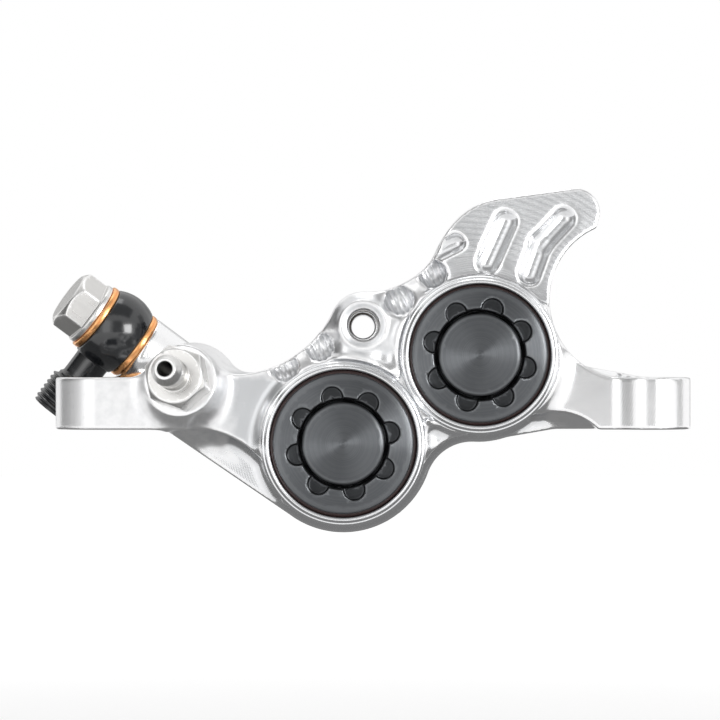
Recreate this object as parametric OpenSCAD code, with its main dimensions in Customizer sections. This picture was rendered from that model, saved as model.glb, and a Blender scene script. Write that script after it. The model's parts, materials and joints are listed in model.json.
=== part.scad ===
// Four-piston post-mount disc brake caliper, seen from its outboard side along +Y.
// X runs along the two mounting bolts, Y from the outboard face to the wheel, Z up from the seats.
// The origin lies midway between the two bolt slots, on the plane of the mounting seats.

/* [Post mount] */
// Distance between the two mounting bolts
mount_spacing = 74; // [73:0.5:78]
// Height of each mounting tab along its bolt
tab_height = 7; // [6.5:0.25:8]
// Radius of the rounded tab ends
tab_r = 5.7; // [5.4:0.1:6.4]
// Width of the bolt slot
slot_w = 6.5; // [6.2:0.1:7]
// Sideways adjustment that each slot gives
slot_travel = 5; // [3:0.5:6]

/* [Pistons] */
// Diameter of the large pistons
large_piston_d = 18; // [17:0.25:18.5]
// Diameter of the small pistons
small_piston_d = 16; // [15:0.25:17]
// Length of every piston
piston_length = 9.5; // [8.5:0.25:11]
// Distance between the two bores of one half
bore_pitch = 21.7; // [21.5:0.1:24]
// Rise of the line through the bores above the mounting line, in degrees
bore_angle = 33; // [31:0.5:35]
// Middle of the bore pair, along the mounting line
pad_mid_x = 5.1; // [4:0.1:6]
// Middle of the bore pair, above the mounting seats
pad_mid_z = 4.1; // [3.5:0.1:5]
// Fluid space behind a piston at rest
chamber_depth = 1.75; // [1.5:0.25:3]
// Radial height of a piston seal
seal_height = 1.9; // [1.5:0.1:2]
// Width of a piston seal
seal_width = 2.4; // [2:0.1:3]

/* [Pad slot] */
// Distance from the bolt plane to the rotor's middle plane
rotor_offset = 13.5; // [13:0.25:15]
// Width of the slot between the two halves
pad_slot_w = 13.5; // [13:0.25:15]
// Length of a pad along the bore line
pad_length = 38.6; // [37:0.2:39.4]
// Thickness of a pad backing plate
plate_t = 2; // [1.8:0.1:2.2]
// Thickness of a friction lining
lining_t = 2; // [1.6:0.1:2.2]
// Width of the groove that the rotor runs in
rotor_groove_w = 5.5; // [5:0.25:6.5]
// Rotor diameter that the groove is cut for
rotor_d = 180; // [160:10:203]
// Diameter of the pad pin
pin_d = 4; // [3.5:0.25:4.25]
// Distance from the bore line out to the pad pin
pin_offset = 11.8; // [11.5:0.1:13]

/* [Bore caps] */
// Radial step from the large piston to its cap
large_cap_step = 0.8; // [0.8:0.1:1.2]
// Radial step from the small piston to its cap
small_cap_step = 1.4; // [1:0.1:1.6]
// Thickness of a cap
cap_t = 4.5; // [4.25:0.25:6]
// Radius of the button in the middle of a cap
button_r = 5.5; // [5:0.1:5.6]
// Depth of the tool socket in a cap
socket_depth = 2; // [1.5:0.1:2.2]

/* [Hose fitting] */
// Downward slope of the banjo bolt, in degrees
banjo_angle = 36.9; // [35:0.5:39]
// Turn of the banjo bolt away from the outboard side, in degrees
banjo_tilt = 12; // [10:0.5:13]
// Width of the banjo between its washers
banjo_w = 5.7; // [5.2:0.1:6]
// Outer radius of the copper washers
washer_r = 4.9; // [4.6:0.1:5.2]
// Thickness of the copper washers
washer_t = 0.9; // [0.8:0.1:1.1]
// Diameter of the banjo bolt
bolt_d = 6; // [5:0.5:6.5]
// Bolt head across its flats
hex_af = 7.6; // [7:0.1:8]
// Length of the stem from the bolt's axis to its end
stem_length = 14.2; // [13:0.2:16]
// Outer diameter of the stem's hose thread
hose_thread_d = 7; // [6.5:0.25:7.5]

/* [Bleed nipple] */
// Diameter of the nipple's thread
nipple_d = 6; // [5:0.5:6]
// Nipple hexagon across its flats
nipple_af = 7.6; // [7:0.2:8]
// Radius of the boss under the nipple
nipple_boss_r = 4.9; // [4.8:0.1:5.4]
// Length of the nipple in front of its hexagon
spout_length = 6; // [5:0.25:7]

/* [Body] */
// Wall round each cap
boss_wall = 2.35; // [2.2:0.05:2.6]
// Wall behind the inboard bores
back_wall = 3; // [2.5:0.25:4]
// Radius of the fillet between the bosses on the hub side
hub_fillet = 6.25; // [6:0.25:7]
// Radius of the pad-pin boss
pin_boss_r = 4.6; // [4.3:0.1:5]
// Radius of the hollow between the fin and the right tab
relief_r = 10.5; // [10:0.1:10.8]
// Backward slope of the fin's face, in degrees
fin_rake = 10; // [6:1:12]
// Radius of the ball-ended grooves
groove_r = 1.5; // [1.2:0.1:1.7]

/* [Hidden] */
$fn = 72;

// Clearances
run_gap = 0.05;
pad_gap = 0.3;
cut = 1;
far = 60;

// Directions of the bore line and away from the hub, and points in that frame
along = [cos(bore_angle), sin(bore_angle)];
outward = [-sin(bore_angle), cos(bore_angle)];
pad_mid = [pad_mid_x, pad_mid_z];
function at(a, o) = pad_mid + a * along + o * outward;
function unit(v) = v / norm(v);
function turn(v, a) = [v.x * cos(a) - v.y * sin(a), v.x * sin(a) + v.y * cos(a)];
function polar(c, r, a) = c + r * [cos(a), sin(a)];

// Plan of the body
mount_x = mount_spacing / 2;
large_c = at(-bore_pitch / 2, 0);
small_c = at(bore_pitch / 2, 0);
pin_c = at(0, pin_offset);
large_r = large_piston_d / 2;
small_r = small_piston_d / 2;
large_cap_r = large_r + large_cap_step;
small_cap_r = small_r + small_cap_step;
large_boss_r = large_cap_r + boss_wall;
small_boss_r = small_cap_r + boss_wall;
front_inset = 1.15;
toe = [8.8 - mount_x, 0];
heel_c = toe + [9, 3.4];
heel_r = 4;
fin_root_c = at(20.28, 7.17);
fin_root_r = 9.9;
bridge_c = at(26, 11);
bridge_r = 3.5;
left_fillet = 14.6;
top_fillet = 10.5;
relief_c = [mount_x - 2.9, tab_height + relief_r - 0.15];
fin_tip_r = 3.2;
fin_tip_c = polar(relief_c, relief_r + fin_tip_r - 0.04, 120);
notches = [at(-11.95, 12.8), at(-6.5, 12.55), at(5.9, 11.95), at(11.5, 12.5)];
scallop_r = 12.15;
scallop_c = [toe.x + 4.15, 0.15 - scallop_r];
arch_r = 8;
arch_c = [mount_x - 12.6, 2.4 - arch_r];

// Levels along Y
outboard_wall = rotor_offset - pad_slot_w / 2;
inboard_wall = rotor_offset + pad_slot_w / 2;
bore_depth = piston_length + chamber_depth;
cap_seat = outboard_wall - bore_depth;
rim_y = cap_seat - cap_t;
face_y = rim_y + 2.5;
ledge_y = rim_y + 8;
inboard_end = inboard_wall + bore_depth;
rear_y = inboard_end + back_wall;
seal_inset = 1.9;

// Pistons
cup_wall = 1.5;
cup_depth = 2.2;
insulator_proud = 0.4;
insulator_bore = 2.5;
piston_edge = 0.3;

// Pads
pad_low = -7.8;
pad_high = 8;
pad_corner = 3;
pocket_half = pad_length / 2 + pad_gap;
pin_hole_r = pin_d / 2 + 0.1;
tapped_r = pin_d * 0.41;
rotor_c = at(0, 8.5 - rotor_d / 2);

// Hose fitting, in a frame whose X is the bolt's axis and whose -Z is the stem
banjo_c = [1.3 - mount_x, rotor_offset, 13.3];
ball_r = sqrt(pow(washer_r, 2) + pow(banjo_w / 2, 2));
seat_x = banjo_w / 2 + washer_t;
bolt_axis = [cos(banjo_tilt) * cos(banjo_angle), sin(banjo_tilt), -cos(banjo_tilt) * sin(banjo_angle)];
bolt_reach = 9;
flange_t = 0.8;
stem_r = 2.5;
hose_r = 2.55;
hose_depth = 5;
collar_x = stem_length - hose_depth - 0.8;
thread_start = stem_length - hose_depth + 0.2;
port_r = 1.25;

// Bleed nipple
junction = banjo_c + 18.5 * bolt_axis;
nipple_face = [junction.x - 4.4, rim_y - 0.5, junction.z + 4.2];
nipple_dir = unit(nipple_face - junction);
nipple_hole = 9;
hex_h = 4.2;
cone_r = 1.4;
cone_h = 2;
bleed_r = 1;
barb_r = 2.1;
spout_tip_r = 1.45;
spout_foot = 0.2;
port_back = 2.1;
cone_gap = 0.4;

// Placing helpers: points are [x, z] in plan, and a span is [front, back] along Y
module plate(points, span) {
    translate([0, span[1], 0])
        rotate([90, 0, 0])
            linear_extrude(span[1] - span[0])
                polygon(points);
}

module drum(c, r, span) {
    translate([c.x, span[1], c.y])
        rotate([90, 0, 0])
            cylinder(h = span[1] - span[0], r = r);
}

module turned(c, back) {
    translate([c.x, back, c.y])
        rotate([90, 0, 0])
            rotate_extrude()
                children();
}

module aim(v) {
    rotate([0, acos(v.z / norm(v)), atan2(v.y, v.x)])
        children();
}

module drill(from, to, r) {
    translate(from)
        aim(to - from)
            cylinder(h = norm(to - from), r = r);
}

module banjo_frame() {
    translate(banjo_c)
        rotate([0, banjo_angle, 0])
            rotate([0, 0, banjo_tilt])
                children();
}

module bolt_cylinder(x0, x1, r) {
    translate([x0, 0, 0])
        rotate([0, 90, 0])
            cylinder(h = x1 - x0, r = r);
}

// A belt round two circles, and the web under a circle that touches two others.
// Straight edges and webs bite a hair into the circles, so that they cross and never just touch.
bite = 0.02;

module belt(a, ra, b, rb, span) {
    k = acos((ra - rb) / norm(b - a));
    p = turn(unit(b - a), k);
    q = turn(unit(b - a), -k);
    drum(a, ra, span);
    drum(b, rb, span);
    plate([a + (ra - bite) * p, b + (rb - bite) * p, b + (rb - bite) * q, a + (ra - bite) * q], span);
}

function touching(a, ra, b, rb, r, side) =
    let (d = norm(b - a), e = unit(b - a),
        k = (pow(ra + r, 2) - pow(rb + r, 2) + pow(d, 2)) / (2 * d),
        h = sqrt(pow(ra + r, 2) - pow(k, 2)))
    a + k * e + side * h * [-e.y, e.x];

module web(a, ra, b, rb, r, side, span) {
    c = touching(a, ra, b, rb, r, side);
    difference() {
        plate([a, b, c], span);
        drum(c, r + bite, [span[0] - cut, span[1] + cut]);
    }
}

// A box with rounded corners, in the frame of the bore line
module pad_box(half, low, high, r, span) {
    plate([at(r - half, low), at(half - r, low), at(half - r, high), at(r - half, high)], span);
    plate([at(-half, low + r), at(half, low + r), at(half, high - r), at(-half, high - r)], span);
    for (a = [r - half, half - r], o = [low + r, high - r])
        drum(at(a, o), r + bite, span);
}

// Parts of the body, by their outline in plan
module bore_part(inset, span) {
    drum(large_c, large_boss_r - inset, span);
    drum(small_c, small_boss_r - inset, span);
    web(large_c, large_boss_r - inset, small_c, small_boss_r - inset, hub_fillet + inset, -1, span);
}

module top_part(span) {
    drum(pin_c, pin_boss_r, span);
    drum(heel_c, heel_r, span);
    drum(fin_root_c, fin_root_r, span);
    web(heel_c, heel_r, pin_c, pin_boss_r, left_fillet, 1, span);
    web(pin_c, pin_boss_r, fin_root_c, fin_root_r, top_fillet, 1, span);
    plate([large_c, small_c, fin_root_c, pin_c, heel_c], span);
}

module toe_part(inset, span) {
    r = large_boss_r - inset - bite;
    d = norm(large_c - toe);
    e = turn(unit(large_c - toe), -asin(r / d));
    plate([toe, toe + sqrt(pow(d, 2) - pow(r, 2)) * e, large_c, heel_c], span);
}

module arm_part(root, span) {
    plate([[toe.x - 2, 0], heel_c + [0, -heel_r], heel_c + [0, heel_r], [toe.x - 2, tab_height]], span);
    plate([small_c + [0, -root], [arch_c.x, 0], [mount_x, 0], [mount_x, tab_height], small_c + [0, 1]], span);
}

module rear_part(span) {
    difference() {
        union() {
            bore_part(0, span);
            top_part(span);
            toe_part(0, span);
            belt(fin_root_c, fin_root_r, bridge_c, bridge_r, span);
            plate([small_c, bridge_c, fin_root_c], span);
        }
        drum(relief_c, relief_r, [span[0] - cut, span[1] + cut]);
    }
    drum(small_c, small_boss_r - front_inset, span);
}

module fin_part(span) {
    difference() {
        union() {
            belt(fin_root_c, fin_root_r, fin_tip_c, fin_tip_r, span);
            plate([small_c, [relief_c.x, 0], relief_c, fin_tip_c, fin_root_c], span);
        }
        drum(relief_c, relief_r, [span[0] - cut, span[1] + cut]);
    }
}

module front_part(span) {
    wide = [span[0] - cut, span[1] + cut];
    difference() {
        union() {
            bore_part(front_inset, span);
            top_part(span);
            arm_part(0, span);
            toe_part(front_inset, span);
        }
        drum(scallop_c, scallop_r, wide);
        drum(arch_c, arch_r, wide);
        drum(relief_c, relief_r, wide);
    }
}

// An upright block with round ends, for the tabs and their slots
module upright(x, r, z0, z1) {
    for (y = [-slot_travel / 2, slot_travel / 2])
        translate([x, y, z0]) cylinder(h = z1 - z0, r = r);
    translate([x - r + bite, -slot_travel / 2, z0]) cube([2 * (r - bite), slot_travel, z1 - z0]);
}

// A bore boss with its raised rim
module rim_boss(c, r) {
    h = ledge_y - rim_y;
    turned(c, ledge_y)
        polygon([[0, 0], [r, 0], [r, h - 1.3], [r - 0.3, h - 0.9], [r - 0.45, h - 0.9], [r - 0.45, h - 0.3],
            [r - 0.75, h], [0, h]]);
}

// A ball-ended cut sunk straight in, and one run along the face from point to point
module ball_sink(c, depth_y, r) {
    translate([c.x, depth_y, c.y]) sphere(r + bite);
    drum(c, r, [rim_y - cut, depth_y]);
}

function fin_y(p) = face_y + tan(fin_rake) * max(0, (p - small_c) * fin_dir - small_boss_r);

module ball_run(points, r) {
    path = [for (p = points) [p.x, fin_y(p) - 0.35 * r, p.y]];
    for (i = [0:len(path) - 1])
        translate(path[i]) sphere(r + bite);
    for (i = [1:len(path) - 1])
        drill(path[i - 1], path[i], r);
}

fin_dir = unit(fin_tip_c - small_c);

module body_solid() {
    front_part([face_y, ledge_y + cut]);
    fin_part([face_y, ledge_y + 3]);
    arm_part(small_boss_r, [ledge_y, outboard_wall]);
    rear_part([ledge_y, rear_y - 1.2]);
    for (b = [[large_c, large_boss_r], [small_c, small_boss_r]]) {
        rim_boss(b[0], b[1] - front_inset);
        turned(b[0], rear_y)
            polygon([[0, 0], [b[1] - 2.6, 0], [b[1] - 1.2, 1.4], [b[1] - 1.2, 3], [0, 3]]);
    }
    drum(pin_c, 3.4, [rim_y + 1, ledge_y]);
    upright(-mount_x, tab_r, 0, tab_height);
    upright(mount_x, tab_r, 0, tab_height);
    translate([-mount_x, bite - tab_r - slot_travel / 2, 0])
        cube([12, slot_travel + 2 * (tab_r - bite), tab_height]);
    banjo_frame()
        bolt_cylinder(seat_x, 20, washer_r);
    translate(nipple_face)
        aim(-nipple_dir) {
            cylinder(h = 15, r = nipple_boss_r);
            translate([0, 0, 3]) cylinder(h = 5, r1 = nipple_boss_r, r2 = nipple_boss_r + 1.5);
        }
}

// Both bores of a pair are cut in one pass, from the cap's side
module bore_cuts(c, r, cap_r) {
    drum(c, cap_r + run_gap, [rim_y - cut, cap_seat]);
    drum(c, r + run_gap, [cap_seat - cut, inboard_end]);
    for (y = [outboard_wall - seal_inset - seal_width, inboard_wall + seal_inset])
        drum(c, r + seal_height + run_gap, [y - run_gap, y + seal_width + run_gap]);
}

module slot_cuts() {
    low = pad_low - 0.2;
    plate([at(-pocket_half, low), at(pocket_half, low), at(pocket_half, far), at(-pocket_half, far)],
        [outboard_wall, inboard_wall]);
    drum(rotor_c, rotor_d / 2 + 2, [rotor_offset - rotor_groove_w / 2, rotor_offset + rotor_groove_w / 2]);
}

module pin_cuts() {
    drum(pin_c, pin_hole_r, [rim_y - cut, outboard_wall + cut]);
    translate([pin_c.x, rim_y + 1.7, pin_c.y])
        rotate([90, 0, 0])
            cylinder(h = 1.5, r1 = pin_hole_r - 0.1, r2 = pin_hole_r + 1.4);
    drum(pin_c, tapped_r, [inboard_wall - cut, rear_y + cut]);
}

module mount_cuts() {
    for (x = [-mount_x, mount_x])
        upright(x, slot_w / 2, -cut, tab_height + cut);
}

module fluid_cuts() {
    banjo_frame()
        bolt_cylinder(seat_x - cut, seat_x + bolt_reach + 0.5, bolt_d / 2 + run_gap);
    drill(banjo_c + (seat_x + bolt_reach) * bolt_axis, junction + port_r * bolt_axis, port_r);
    translate(nipple_face + cut * nipple_dir)
        aim(-nipple_dir)
            cylinder(h = nipple_hole + cut, r = nipple_d / 2 + run_gap);
    drill(nipple_face - (nipple_hole - 0.5) * nipple_dir, junction, port_r * 0.7);
    near_y = cap_seat + chamber_depth / 2;
    far_y = inboard_end - chamber_depth / 2;
    drill([junction.x, near_y - port_r, junction.z], [junction.x, far_y + port_r, junction.z], port_r * 0.8);
    for (y = [near_y, far_y]) {
        drill([junction.x, y, junction.z], [large_c.x, y, large_c.y], port_r * 0.6);
        drill([large_c.x, y, large_c.y], [small_c.x, y, small_c.y], port_r * 0.6);
    }
}

module groove_cuts() {
    for (p = notches)
        ball_sink(p, face_y + 1.2, groove_r + 0.2);
    ball_run([at(11, 14.9), at(16.4, 14.3)], groove_r * 0.8);
    ball_run([at(18.5, 9.8), at(23.7, 13.1)], groove_r);
    ball_run([at(22.4, 5.4), at(26, 8.1), at(30.5, 9.2)], groove_r * 0.95);
    hinge = small_c + small_boss_r * fin_dir;
    translate([hinge.x, face_y, hinge.y])
        rotate([0, -atan2(fin_dir.y, fin_dir.x), 0])
            rotate([0, 0, fin_rake])
                translate([0, -far / 3, -far])
                    cube([far, far / 3, 2 * far]);
}

module caliper_body() {
    color([0.80, 0.81, 0.83])
        difference() {
            body_solid();
            bore_cuts(large_c, large_r, large_cap_r);
            bore_cuts(small_c, small_r, small_cap_r);
            slot_cuts();
            pin_cuts();
            mount_cuts();
            fluid_cuts();
            groove_cuts();
        }
}

// A screwed cap: a lobed socket round a button, and a groove for its ring
module cap(c, r, phase) {
    groove_y = rim_y + 0.6;
    color([0.13, 0.13, 0.14])
        difference() {
            union() {
                drum(c, r - 0.2, [rim_y, groove_y]);
                drum(c, r - 1, [groove_y, groove_y + 1.1]);
                drum(c, r, [groove_y + 1.1, cap_seat]);
            }
            difference() {
                union() {
                    drum(c, button_r + 0.45, [rim_y - cut, rim_y + socket_depth]);
                    for (i = [0:7])
                        drum(polar(c, button_r + 0.8, phase + 45 * i), 1.45, [rim_y - cut, rim_y + socket_depth]);
                }
                turned(c, rim_y + socket_depth + cut)
                    polygon([[0, 0], [button_r, 0], [button_r, socket_depth + cut - 0.3],
                        [button_r - 0.3, socket_depth + cut], [0, socket_depth + cut]]);
            }
        }
}

module large_bore_cap() {
    cap(large_c, large_cap_r, 13.5);
}

module small_bore_cap() {
    cap(small_c, small_cap_r, 29.5);
}

module ring(c, r) {
    color([0.42, 0.16, 0.12])
        turned(c, rim_y + 1.15)
            translate([r - 0.48, 0]) circle(0.5);
}

module large_cap_o_ring() {
    ring(large_c, large_cap_r);
}

module small_cap_o_ring() {
    ring(small_c, small_cap_r);
}

// A piston cup, open to the pad, and the insulator pressed into it
module piston(c, r, face, side) {
    length = piston_length - insulator_proud;
    color([0.62, 0.63, 0.65])
        translate([c.x, face - side * insulator_proud, c.y])
            rotate([side * 90, 0, 0])
                rotate_extrude()
                    polygon([[0, cup_depth], [r - cup_wall, cup_depth], [r - cup_wall, 0], [r - piston_edge, 0],
                        [r, piston_edge], [r, length - 0.5], [r - 0.5, length], [0, length]]);
}

module insulator(c, r, face, side) {
    outer = r - cup_wall - 0.02;
    depth = cup_depth + insulator_proud;
    edge = 0.48;
    color([0.22, 0.15, 0.11])
        translate([c.x, face, c.y])
            rotate([side * 90, 0, 0])
                rotate_extrude()
                    polygon([[insulator_bore, 0], [outer - edge, 0], [outer, edge], [outer, depth],
                        [insulator_bore, depth]]);
}

module outboard_large_piston() {
    piston(large_c, large_r, outboard_wall, 1);
}

module outboard_small_piston() {
    piston(small_c, small_r, outboard_wall, 1);
}

module inboard_large_piston() {
    piston(large_c, large_r, inboard_wall, -1);
}

module inboard_small_piston() {
    piston(small_c, small_r, inboard_wall, -1);
}

module outboard_large_insulator() {
    insulator(large_c, large_r, outboard_wall, 1);
}

module outboard_small_insulator() {
    insulator(small_c, small_r, outboard_wall, 1);
}

module inboard_large_insulator() {
    insulator(large_c, large_r, inboard_wall, -1);
}

module inboard_small_insulator() {
    insulator(small_c, small_r, inboard_wall, -1);
}

module seal(c, r, front) {
    color([0.07, 0.07, 0.07])
        turned(c, front + seal_width)
            translate([r + 0.03, 0]) square([seal_height - 0.03, seal_width]);
}

module outboard_large_seal() {
    seal(large_c, large_r, outboard_wall - seal_inset - seal_width);
}

module outboard_small_seal() {
    seal(small_c, small_r, outboard_wall - seal_inset - seal_width);
}

module inboard_large_seal() {
    seal(large_c, large_r, inboard_wall + seal_inset);
}

module inboard_small_seal() {
    seal(small_c, small_r, inboard_wall + seal_inset);
}

// Pads: a backing plate with an ear on the pad pin, and its grooved lining
module pad_plate(front) {
    span = [front, front + plate_t];
    color([0.45, 0.42, 0.38])
        difference() {
            union() {
                pad_box(pad_length / 2, pad_low, pad_high, pad_corner, span);
                belt(at(0, pad_high - 4), 6, pin_c, pin_d / 2 + 1.7, span);
            }
            drum(pin_c, pin_hole_r, [front - cut, front + plate_t + cut]);
        }
}

module pad_lining(front, groove) {
    color([0.25, 0.22, 0.20])
        difference() {
            pad_box(pad_length / 2 - 0.8, pad_low + 0.4, pad_high - 0.6, pad_corner, [front, front + lining_t]);
            plate([at(-0.75, pad_low), at(0.75, pad_low), at(0.75, pad_high), at(-0.75, pad_high)],
                [front + groove, front + groove + lining_t]);
        }
}

module outboard_pad_plate() {
    pad_plate(outboard_wall + run_gap);
}

module outboard_pad_lining() {
    pad_lining(outboard_wall + run_gap + plate_t, 0.5 * lining_t);
}

module inboard_pad_plate() {
    pad_plate(inboard_wall - run_gap - plate_t);
}

module inboard_pad_lining() {
    pad_lining(inboard_wall - run_gap - plate_t - lining_t, -0.5 * lining_t);
}

// Hose fitting
module banjo_bolt() {
    head_x = -seat_x - flange_t;
    color([0.70, 0.71, 0.73])
        banjo_frame()
            difference() {
                union() {
                    intersection() {
                        translate([head_x, 0, 0])
                            rotate([0, -90, 0])
                                cylinder(h = 3.6, r = hex_af / 2 / cos(30), $fn = 6);
                        translate([head_x - 3.6, 0, 0])
                            rotate([0, 90, 0])
                                cylinder(h = 3.6, r1 = hex_af / 2 - 0.3, r2 = hex_af / 2 + 4);
                    }
                    bolt_cylinder(head_x, -seat_x, hex_af / 2 + 0.8);
                    bolt_cylinder(-seat_x - 0.4, seat_x + bolt_reach, bolt_d / 2);
                }
                bolt_cylinder(-port_r, seat_x + bolt_reach + cut, port_r);
                translate([0, 0, -bolt_d])
                    cylinder(h = 2 * bolt_d, r = port_r);
            }
}

module washer(x) {
    color([0.75, 0.42, 0.24])
        banjo_frame()
            difference() {
                bolt_cylinder(x, x + washer_t, washer_r);
                bolt_cylinder(x - cut, x + washer_t + cut, bolt_d / 2 + 0.1);
            }
}

module head_copper_washer() {
    washer(-seat_x);
}

module body_copper_washer() {
    washer(banjo_w / 2);
}

module banjo_fitting() {
    color([0.03, 0.03, 0.03])
        banjo_frame()
            difference() {
                union() {
                    intersection() {
                        sphere(ball_r);
                        bolt_cylinder(-banjo_w / 2, banjo_w / 2, ball_r + cut);
                    }
                    translate([0, 0, -stem_length])
                        rotate_extrude()
                            polygon([[0, 0], [hose_thread_d / 2 - 0.4, 0], [hose_thread_d / 2, 0.4],
                                [hose_thread_d / 2, stem_length - thread_start],
                                [stem_r, stem_length - collar_x], [stem_r, stem_length - 3], [0, stem_length - 3]]);
                }
                bolt_cylinder(-banjo_w, banjo_w, bolt_d / 2 + 0.1);
                bolt_cylinder(-banjo_w / 4, banjo_w / 4, bolt_d / 2 + 0.9);
                translate([0, 0, -stem_length - cut])
                    cylinder(h = hose_depth + cut, r = hose_r);
                translate([0, 0, -stem_length])
                    cylinder(h = stem_length, r = port_r);
            }
}

// Bleed nipple: thread and cone seat behind the hexagon, barbed spout in front
module bleed_nipple() {
    cone_tip = cone_gap - nipple_hole;
    port_z = cone_tip + cone_h + port_back;
    top = spout_length + spout_foot;
    color([0.70, 0.71, 0.73])
        translate(nipple_face)
            aim(nipple_dir)
                difference() {
                    union() {
                        intersection() {
                            rotate(12) cylinder(h = hex_h, r = nipple_af / 2 / cos(30), $fn = 6);
                            cylinder(h = hex_h, r1 = nipple_af / 2 + 0.95 * hex_h, r2 = nipple_af / 2 - spout_foot);
                        }
                        translate([0, 0, cone_tip])
                            cylinder(h = cone_h, r1 = cone_r, r2 = nipple_d / 2);
                        translate([0, 0, cone_tip + cone_h])
                            cylinder(h = nipple_hole - cone_h, r = nipple_d / 2);
                        translate([0, 0, hex_h - spout_foot])
                            rotate_extrude()
                                polygon([[0, 0], [barb_r, 0], [barb_r * 0.8, top * 0.15], [barb_r * 0.75, top * 0.3],
                                    [barb_r, top * 0.42], [barb_r, top * 0.77], [spout_tip_r, top], [0, top]]);
                    }
                    translate([0, 0, port_z - bleed_r])
                        cylinder(h = nipple_hole + hex_h + spout_length, r = bleed_r);
                    translate([0, 0, port_z])
                        rotate([0, 90, 0])
                            cylinder(h = 2 * nipple_d, r = bleed_r * 0.8, center = true);
                }
}

caliper_body();
large_bore_cap();
small_bore_cap();
large_cap_o_ring();
small_cap_o_ring();
outboard_large_piston();
outboard_small_piston();
inboard_large_piston();
inboard_small_piston();
outboard_large_insulator();
outboard_small_insulator();
inboard_large_insulator();
inboard_small_insulator();
outboard_large_seal();
outboard_small_seal();
inboard_large_seal();
inboard_small_seal();
outboard_pad_plate();
outboard_pad_lining();
inboard_pad_plate();
inboard_pad_lining();
banjo_bolt();
head_copper_washer();
body_copper_washer();
banjo_fitting();
bleed_nipple();
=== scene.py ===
# %% [markdown]
# A disc brake caliper, dressed for its portrait.
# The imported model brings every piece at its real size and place. This lesson gives the pieces their finish:
# a milled and polished body with rolled fillets, turned black caps, copper washers and a gloss black banjo.
# Each cell makes one thing and prints what it measured.

# %% Load the frame
import json
import math
import bpy
import numpy as np
import openvdb as vdb
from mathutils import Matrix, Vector


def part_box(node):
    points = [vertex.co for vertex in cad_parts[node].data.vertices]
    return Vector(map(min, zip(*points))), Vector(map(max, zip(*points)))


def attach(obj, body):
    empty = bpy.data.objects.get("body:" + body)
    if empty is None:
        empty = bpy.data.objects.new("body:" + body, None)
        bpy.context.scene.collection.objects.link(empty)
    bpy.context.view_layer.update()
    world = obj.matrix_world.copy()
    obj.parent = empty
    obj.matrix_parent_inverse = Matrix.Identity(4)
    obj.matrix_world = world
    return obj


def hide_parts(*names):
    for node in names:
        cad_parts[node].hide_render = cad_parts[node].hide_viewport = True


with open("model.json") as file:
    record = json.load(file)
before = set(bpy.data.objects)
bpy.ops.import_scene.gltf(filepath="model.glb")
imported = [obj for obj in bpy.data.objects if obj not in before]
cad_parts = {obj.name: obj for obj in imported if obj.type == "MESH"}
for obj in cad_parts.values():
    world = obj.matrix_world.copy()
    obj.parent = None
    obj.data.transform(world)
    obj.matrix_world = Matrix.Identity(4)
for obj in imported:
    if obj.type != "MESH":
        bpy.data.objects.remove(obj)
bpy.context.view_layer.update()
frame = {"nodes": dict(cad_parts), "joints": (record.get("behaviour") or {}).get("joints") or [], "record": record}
nodes = frame["nodes"]
record = frame["record"]
joints = {joint["name"]: joint for joint in frame["joints"]}
mounts = {mount["name"]: mount for mount in record["mounts"]}
carrier = {node: body for body, names in record["behaviour"]["bodies"].items() for node in names}
slot_of = {row["node"]: row["material_slot"] for row in record["subparts"]}
scene = bpy.context.scene
MM = 0.001

# %% [markdown]
# Every size below comes from the frame, in millimetres: bore centres from the caps, axes from the joints,
# the pin hole and the bolt spacing from the mounts. A piece made here then sits where the solid sits.

# %% Measure the frame
def box_mm(node):
    low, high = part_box(node)
    return np.array(low) / MM, np.array(high) / MM


def round_piece(node):
    """Centre, radius, and near and far face of a piece turned about Y."""
    low, high = box_mm(node)
    return (low + high) / 2, (high[0] - low[0]) / 2, low[1], high[1]


large_c, large_cap_r, rim_y, _ = round_piece("large_bore_cap")
small_c, small_cap_r, _, _ = round_piece("small_bore_cap")
bores = ((large_c, large_cap_r), (small_c, small_cap_r))
pin_c = np.array(mounts["pad_pin_hole"]["pos_m"]) / MM
pin_r = mounts["pad_pin_hole"]["dims"]["r_mm"]
tab_x = mounts["post_mount"]["dims"]["spacing_x_mm"] / 2
nipple_o = np.array(joints["nipple_turn"]["pos_m"]) / MM
nipple_dir = np.array(joints["nipple_turn"]["axis"])
banjo_o = np.array(joints["banjo_swivel"]["pos_m"]) / MM
bolt_dir = np.array(joints["banjo_swivel"]["axis"])
hose_o = np.array(mounts["hose_socket"]["pos_m"]) / MM
stem_dir = np.array(mounts["hose_socket"]["axis"])
slot_low, slot_high = box_mm("outboard_pad_plate")[0][1], box_mm("inboard_pad_plate")[1][1]
along = (small_c - large_c) / np.linalg.norm(small_c - large_c)
pad_mid = (small_c + large_c) / 2
outward = np.array([-along[2], 0, along[0]])
for centre, radius in bores:
    print("bore at", centre.round(2), "cap radius", round(radius, 2))
print("slot from", round(slot_low, 2), "to", round(slot_high, 2), "pin at", pin_c.round(2))


def at(a, o, y=0.0):
    """A point at a along the bore line and o away from the hub, at depth y."""
    return pad_mid * [1, 0, 1] + a * along + o * outward + np.array([0, y, 0])


# %% [markdown]
# The body was cut from one block with a ball-nosed cutter, so every inner corner has the cutter's radius and
# every outer edge is only broken. Bevels can't follow so many crossing faces. Here the solid becomes a distance
# field: a ball rolled over its outside fills the inner corners, and a small blur breaks the edges.
# Holes, seats and grooves are held back, so that they stay as they were cut.

# %% A distance field round a solid
BAND = 15


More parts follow.
